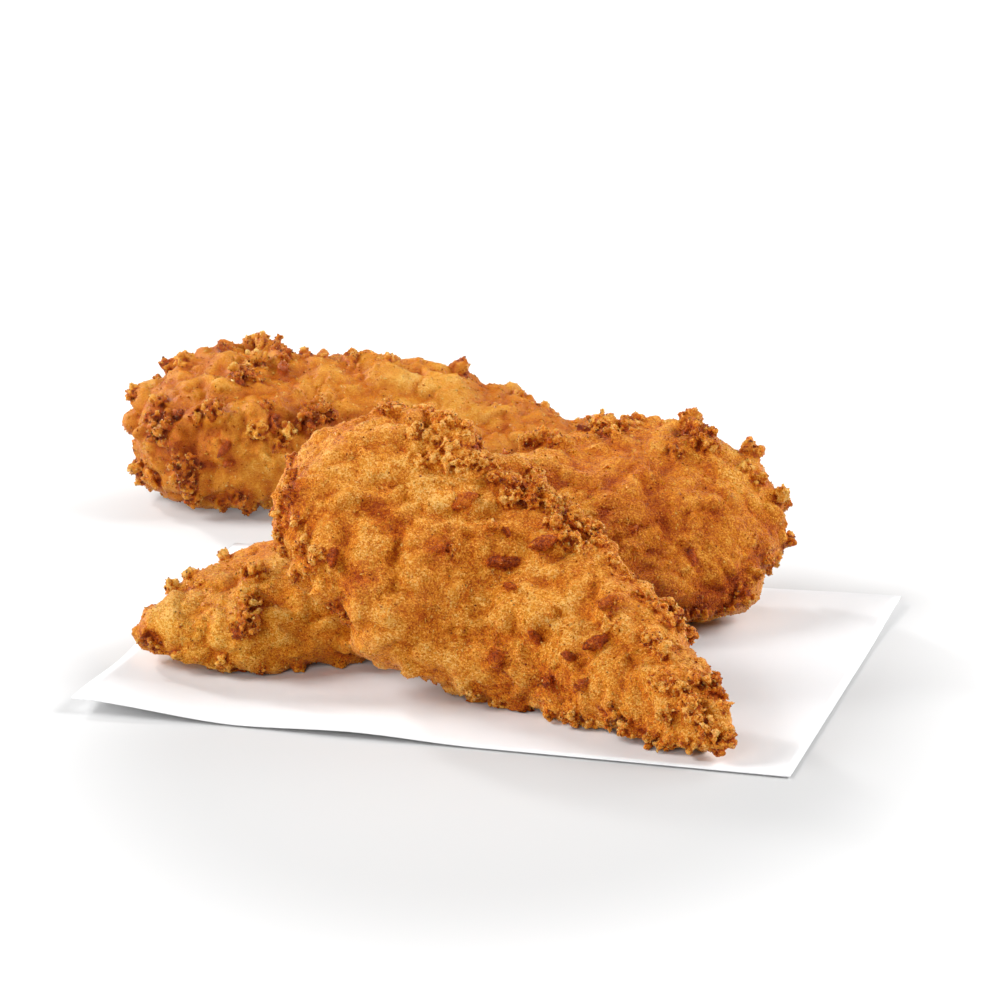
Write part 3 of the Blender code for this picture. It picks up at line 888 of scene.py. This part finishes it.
def fused_shell(node, skin, heap, draw):
    """The skin and its lumps as one fine mesh."""
    places, axes, sizes, _, holds = heap
    jitter = LUMP_JITTER * np.minimum(1.0, LUMP_SIZE * MM / sizes.mean(axis=1))
    jitter = jitter * np.where(holds == FLAKE_HOLD, FLAKE_JITTER, 1.0)
    extra, extra_faces = lumps(ball(), places, axes, sizes, jitter, draw)
    points = np.concatenate([skin.points, extra])
    faces = np.concatenate([skin.faces, extra_faces + len(skin.points)])
    mesh = voxel_mesh(mesh_from_arrays(node + "_heap", points, faces), VOXEL, TRIANGLES)
    drop_scraps(mesh)
    shell = Shell(mesh)
    shell.move(shell.smoothed(shell.points, 1, 0.35))
    return shell


def batter_tone(points, look, skin, sight):
    """How brown the batter is: mottled, lighter where it swells and darker where it sinks as painted light
    and shade, and stained, with the painted light and shade that the stain lists hold.
    """
    mottle = layered_noise(points, MOTTLING, look.seed * SEED_SHIFT)
    brown = look.tone + MOTTLING_TONE * mottle - SWELL_PAINTED_LIGHT * batter_swell(points, look.seed) / MM
    for across, down, radius, much in look.stains:
        centre, _ = skin.seen_at(sight, across, down)
        away = np.linalg.norm(points - np.array(centre), axis=1)
        brown += STAIN_AND_PAINTED_LIGHT_STRENGTH * much * np.exp(-((away / (radius * sight.pixel_size(centre))) ** 2))
    return brown


def nearest_tones(points, places, sizes, browns, holds):
    """For each point, the nearest lump's tone and how far it holds there."""
    tree = KDTree(len(places))
    for i, place in enumerate(places):
        tree.insert(place, i)
    tree.balance()
    tone = np.zeros(len(points))
    share = np.zeros(len(points))
    reach = sizes.mean(axis=1) * 0.5
    for i, point in enumerate(points):
        best = 0.0
        for _, k, distance in tree.find_n(point, 4):
            belongs = holds[k] * (1.0 - max(0.0, distance - reach[k]) / TONE_FADE) ** 2
            if distance < reach[k] + TONE_FADE and belongs > best:
                best = belongs
                tone[i] = browns[k]
        share[i] = best
    return tone, share


def with_lump_tones(brown, points, heap):
    """The tone with the lumps' own laid on, and the share that each layer of them covers."""
    places, _, sizes, browns, holds = heap
    shares = []
    for low, high in TONE_LAYERS:
        kind = (holds > low) & (holds <= high)
        tone, share = nearest_tones(points, places[kind], sizes[kind], browns[kind], holds[kind])
        brown = brown * (1 - share) + tone * share
        shares.append(share)
    return brown, shares


def roughen(shell, node, cragginess, flaked):
    """Fine bumps and crinkles, strong on crags and faint on flakes."""
    shift = LOOKS[node].seed * SEED_SHIFT
    bumps = layered_noise(shell.points, BUMPS, shift)
    crinkles = layered_noise(shell.points, CRINKLES, shift, folded=True) - CRINKLE_DROP
    lift = BUMP_LIFT * bumps + (CRINKLE_LIFT + CRAG_CRINKLES * cragginess) * crinkles
    lift = lift * (1 - FLAKE_EVENNESS * flaked)
    points = shell.points + shell.normals * lift[:, None]
    shell.move(between_rests(points, rest_height(node, points[:, 0])))


def painted_relief_light(shell, cragginess, flaked):
    """How much darker brown the crust is painted in pits and hollows as shade, and how much lighter on tips
    as highlights.
    """
    near = shell.smoothed(shell.points, NEAR_STEPS)
    broad = shell.smoothed(near, BROAD_STEPS)
    tip = np.einsum("ij,ij->i", shell.points - near, shell.normals)
    height = np.einsum("ij,ij->i", shell.points - broad, shell.normals)
    painted_shade = np.clip(-tip / PIT_DEPTH, 0, 1) * (PIT_SHADE[0] + PIT_SHADE[1] * cragginess)
    painted_shade = painted_shade + np.clip(-height / HOLLOW_DEPTH, 0, 1) * HOLLOW_SHADE
    painted_highlight = np.clip(tip / TIP_HEIGHT, 0, 1) * (TIP_HIGHLIGHT[0] + TIP_HIGHLIGHT[1] * cragginess) * (1 - flaked)
    return painted_shade, painted_highlight


def add_crust(node, sight, crust_look, grain_look):
    """A tender's crust, with how brown it is at each point, and the loose grains on it."""
    look = LOOKS[node]
    draw = np.random.default_rng(look.seed)
    skin = uneven_skin(node, sight)
    heap = heaped(look, skin, sight, draw)
    shell = fused_shell(node, skin, heap, draw)
    brown = batter_tone(shell.points, look, skin, sight)
    brown, (_, cragged, flaked) = with_lump_tones(brown, shell.points, heap)
    cragginess = np.clip(cragged / CRAGGY_SHARE, 0, 1) * (1 - flaked)
    cragginess = shell.smoothed(cragginess[:, None], 3)[:, 0]
    roughen(shell, node, cragginess, flaked)
    # Painted shade in pits and hollows and painted highlights on tips, laid into the tone
    painted_shade, painted_highlight = painted_relief_light(shell, cragginess, flaked)
    brown = np.clip(brown + painted_shade - painted_highlight, 0, 1)

    mesh = shell.mesh
    set_point_values(mesh, "brown", brown)
    shade_smooth(mesh)
    mesh.materials.clear()
    mesh.materials.append(crust_look)
    piece = add_object(node + "_crust", mesh)
    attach(piece, "root")
    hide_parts(node)
    add_grains(node, mesh, brown, cragginess, draw, grain_look)


def add_grains(node, mesh, brown, cragginess, draw, material):
    """Loose crumbs all over the crust, each a small uneven stone with eight sides."""
    skin = Skin(mesh)
    craggy = cragginess[skin.faces[:, 0]]
    places, outs, picked = skin.scatter(GRAINS, draw, 1 + CRAG_GRAINS * craggy)
    size = varied(GRAIN_SIZE, draw, GRAINS, 2.0)[:, None] * MM * np.array(STONE_SHAPE)
    size = size * (1 + 0.15 * draw.standard_normal((GRAINS, 3)))
    places = places + outs * (GRAIN_LIFT * size[:, 2:3])
    places[:, 2] = np.maximum(places[:, 2], rest_height(node, places[:, 0]) + 0.5 * size[:, 0])
    lean = 0.5 * draw.standard_normal(outs.shape)
    axes = frames_on(outs + lean, draw.random(GRAINS) * 2 * math.pi)
    points, faces = lumps(octahedron(), places, axes, size, 0.12, draw)
    points[:, 2] = np.maximum(points[:, 2], FLOOR_CLEARANCE)
    grains = mesh_from_arrays(node + "_grains", points, faces)
    # On crags the wider spread makes pale grains, painted highlights that stand for glints
    spread = GRAIN_SPREAD_AND_GLINTS[0] + GRAIN_SPREAD_AND_GLINTS[1] * craggy[picked]
    tones = brown[skin.faces[picked, 0]] + spread * draw.standard_normal(GRAINS) - GRAIN_PALENESS
    tones[draw.random(GRAINS) < BURNT_SHARE] = BURNT_TONE
    corners = len(points) // GRAINS
    set_point_values(grains, "brown", np.repeat(np.clip(tones, 0, BURNT_TONE), corners))
    grains.materials.append(material)
    piece = add_object(node + "_grains", grains)
    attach(piece, "root")


class Shading:
    """A new material, with short ways to add its nodes and to set its shader."""

    def __init__(self, name):
        self.material = bpy.data.materials.new(name)
        self.material.use_nodes = True
        self.tree = self.material.node_tree
        self.shader = self.tree.nodes["Principled BSDF"]
        self.place = self.make("NewGeometry").outputs["Position"]

    def make(self, kind, values=None, links=None, **settings):
        """A shader node with its settings, the values of its inputs, and what is joined to them."""
        made = self.tree.nodes.new("ShaderNode" + kind)
        for name, value in settings.items():
            setattr(made, name, value)
        for name, value in (values or {}).items():
            made.inputs[name].default_value = value
        for name, source in (links or {}).items():
            self.tree.links.new(source, made.inputs[name])
        return made

    def noise(self, scale, detail, roughness):
        values = {"Scale": scale, "Detail": detail, "Roughness": roughness}
        return self.make("TexNoise", values, {"Vector": self.place}).outputs["Fac"]

    def math(self, operation, first, second):
        if isinstance(second, float):
            values, links = {1: second}, {0: first}
        else:
            values, links = {}, {0: first, 1: second}
        return self.make("Math", values, links, operation=operation).outputs[0]

    def ramp(self, source, stops):
        """Colours at their places along a ramp."""
        made = self.make("ValToRGB", {}, {"Fac": source})
        elements = made.color_ramp.elements
        elements[0].position, elements[0].color = stops[0]
        elements[1].position, elements[1].color = stops[-1]
        for position, colour in stops[1:-1]:
            elements.new(position).color = colour
        return made.outputs["Color"]

    def fade(self, source, reach, first, last, how="LINEAR"):
        """Goes from the first value to the last while the source passes through the reach."""
        values = {1: reach[0], 2: reach[1], 3: first, 4: last}
        return self.make("MapRange", values, {0: source}, interpolation_type=how).outputs[0]

    def soft_disc(self, place, centre, reach, first, last):
        """Goes softly from the first value to the last with the distance from a centre."""
        away = self.make("VectorMath", {1: centre}, {0: place}, operation="DISTANCE")
        return self.fade(away.outputs["Value"], reach, first, last, "SMOOTHSTEP")

    def bump(self, height, strength, depth):
        made = self.make("Bump", {"Strength": strength, "Distance": depth}, {"Height": height})
        self.join(made.outputs["Normal"], "Normal")

    def join(self, source, name):
        self.tree.links.new(source, self.shader.inputs[name])

    def set(self, **values):
        """The shader's own values, by the names of its inputs."""
        for name, value in values.items():
            self.shader.inputs[name.replace("_", " ")].default_value = value


def srgb(red, green, blue):
    """A colour given as a picture's 0 to 255 values, as linear light."""
    def linear(value):
        value /= 255.0
        return value / 12.92 if value <= 0.04045 else ((value + 0.055) / 1.055) ** 2.4
    return (linear(red), linear(green), linear(blue), 1.0)


def tinted(colour, tint):
    return [a * b for a, b in zip(tint, srgb(*colour))] + [1.0]


def crust_material(name, fineness, tint, gloss, roughness):
    """Fried breading, with its fineness and its colour multiplier, part of which is painted shade, as a
    tender's look gives them.
    """
    look = Shading(name)
    tone = look.make("Attribute", attribute_name="brown").outputs["Fac"]
    crumbs = look.make("TexVoronoi", {"Scale": CRUMB_SCALE}, {"Vector": look.place})
    crumb_tone = look.make("SeparateColor", {}, {"Color": crumbs.outputs["Color"]})
    layers = (
        (look.noise(*PATCHES), PATCH_WEIGHT),
        (look.noise(*GRAIN), GRAIN_WEIGHT * fineness),
        (crumb_tone.outputs["Red"], CRUMB_WEIGHT * fineness),
    )
    for source, weight in layers:
        part = look.math("MULTIPLY", look.math("SUBTRACT", source, 0.5), weight)
        tone = look.math("ADD", tone, part)
    colour = look.ramp(tone, [(position, tinted(colour, tint)) for position, colour in CRUST_COLOURS])
    look.join(peppered(look, colour), "Base Color")
    relief = look.math("SUBTRACT", look.noise(*RELIEF), crumbs.outputs["Distance"])
    look.bump(relief, 1.0, RELIEF_HEIGHT * fineness)
    look.shader.subsurface_method = "BURLEY"
    look.set(Roughness=roughness, Specular_IOR_Level=gloss, Specular_Tint=srgb(*SHINE_TINT))
    look.set(Subsurface_Weight=FAT_WEIGHT, Subsurface_Radius=FAT_RADIUS, Subsurface_Scale=FAT_DEPTH)
    return look.material


def peppered(look, colour):
    """The colour with rare small dark specks on it."""
    cells = look.make("TexVoronoi", {"Scale": PEPPER_SCALE}, {"Vector": look.place})
    speck = look.fade(cells.outputs["Distance"], PEPPER_RIM, 1.0, 0.0)
    rare = look.math("GREATER_THAN", cells.outputs["Color"], PEPPER_RARITY)
    speck = look.math("MULTIPLY", look.math("MULTIPLY", speck, rare), PEPPER_STRENGTH)
    mixed = look.make("Mix", {7: srgb(*PEPPER_COLOUR)}, {0: speck, 6: colour}, data_type="RGBA")
    return mixed.outputs[2]


def paper_material():
    look = Shading("paper")
    stops = [(0.0, srgb(*PAPER_COLOURS[0])), (1.0, srgb(*PAPER_COLOURS[1]))]
    look.join(look.ramp(look.noise(*CLOUDS), stops), "Base Color")
    look.bump(look.noise(*FIBRES), 0.15, 0.00006)
    look.set(Roughness=PAPER_ROUGHNESS, Subsurface_Weight=0.4)
    look.set(Subsurface_Radius=(1.0, 1.0, 1.0), Subsurface_Scale=0.0003)
    return look.material


def floor_material():
    """A grey that glows away from the pile, so that it fades into a white background, with painted shade
    where the glow is held back in front of the rear tender.
    """
    look = Shading("floor")
    wide = look.make("VectorMath", {1: GLOW_STRETCH}, {0: look.place}, operation="MULTIPLY")
    glow = look.soft_disc(wide.outputs[0], GLOW_CENTRE, GLOW_REACH, 0.0, GLOW_STRENGTH)
    # Painted shade in front of the rear tender
    shade = look.soft_disc(look.place, SHADE_CENTRE, SHADE_REACH, SHADE_SHARE, 1.0)
    look.join(look.math("MULTIPLY", glow, shade), "Emission Strength")
    look.set(Base_Color=(FLOOR_GREY, FLOOR_GREY, FLOOR_GREY, 1.0), Roughness=FLOOR_ROUGHNESS)
    look.set(Emission_Color=(1.0, 1.0, 1.0, 1.0))
    return look.material


def smooth_step(value):
    value = min(1.0, max(0.0, value))
    return value * value * (3 - 2 * value)


def sheet_lift(x, y):
    """How far the sheet stands off the table at a point."""
    corner = smooth_step(1 - math.hypot(x + 0.5 * SHEET_LENGTH, y + 0.5 * SHEET_WIDTH) / CORNER_REACH)
    along = smooth_step(1 - abs(x - WAVE_CENTRE_X) / WAVE_HALF_LENGTH)
    inward = smooth_step(1 - (y + 0.5 * SHEET_WIDTH) / WAVE_DEPTH)
    right = smooth_step(1 - math.hypot(x - 0.5 * SHEET_LENGTH, y - 0.5 * SHEET_WIDTH) / CORNER_REACH)
    return CORNER_LIFT * corner + WAVE_LIFT * along * inward + RIGHT_LIFT * right


def add_paper():
    """The sheet as a fine grid with a thin rim, on its solid's top."""
    across, along = SHEET_CELLS
    xs = SHEET_LENGTH * (np.arange(across + 1) / across - 0.5)
    ys = SHEET_WIDTH * (np.arange(along + 1) / along - 0.5)
    points = np.array([(x, y, sheet_lift(x, y) + SHEET_THICKNESS) for x in xs for y in ys])
    step = along + 1
    corners = [i * step + j for i in range(across) for j in range(along)]
    faces = np.array([(k, k + step, k + step + 1, k + 1) for k in corners])
    mesh = mesh_from_arrays("paper", points, faces)
    shade_smooth(mesh)
    mesh.materials.append(paper_material())
    piece = add_object("paper", mesh)
    thick = piece.modifiers.new("thickness", "SOLIDIFY")
    thick.thickness = PAPER_THICKNESS
    thick.offset = -1.0
    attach(piece, "root")
    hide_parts("paper_sheet")


def add_floor():
    """The table, which isn't part of the object."""
    half = FLOOR_HALF_SIZE
    corners = np.array([(-half, -half, 0), (half, -half, 0), (half, half, 0), (-half, half, 0)])
    mesh = mesh_from_arrays("floor", corners, np.array([(0, 1, 2, 3)]))
    mesh.materials.append(floor_material())
    floor = add_object("floor", mesh)
    floor.location.z = -FLOOR_DROP


def add_light(name, azimuth, elevation, distance, size, power):
    """A square soft light, seen from the pile at an azimuth counted like the camera's."""
    lamp = bpy.data.lights.new(name, "AREA")
    lamp.size = size
    lamp.energy = power
    add_aimed(name, lamp, LIGHTS_TARGET, azimuth, elevation, distance)


def add_world():
    world = bpy.data.worlds.new("surroundings")
    world.use_nodes = True
    background = world.node_tree.nodes["Background"]
    background.inputs["Color"].default_value = (1.0, 1.0, 1.0, 1.0)
    background.inputs["Strength"].default_value = WORLD_STRENGTH
    bpy.context.scene.world = world


def main():
    sight = Sight(add_camera())
    bpy.context.scene.view_settings.view_transform = "Standard"
    add_world()
    for light in LIGHTS:
        add_light(*light)
    add_floor()
    add_paper()
    for node, look in LOOKS.items():
        crust_look = crust_material(node + "_crust", look.fineness, look.tint, *CRUST_FINISH)
        grain_look = crust_material(node + "_grains", look.fineness, look.tint, *GRAIN_FINISH)
        add_crust(node, sight, crust_look, grain_look)


main()
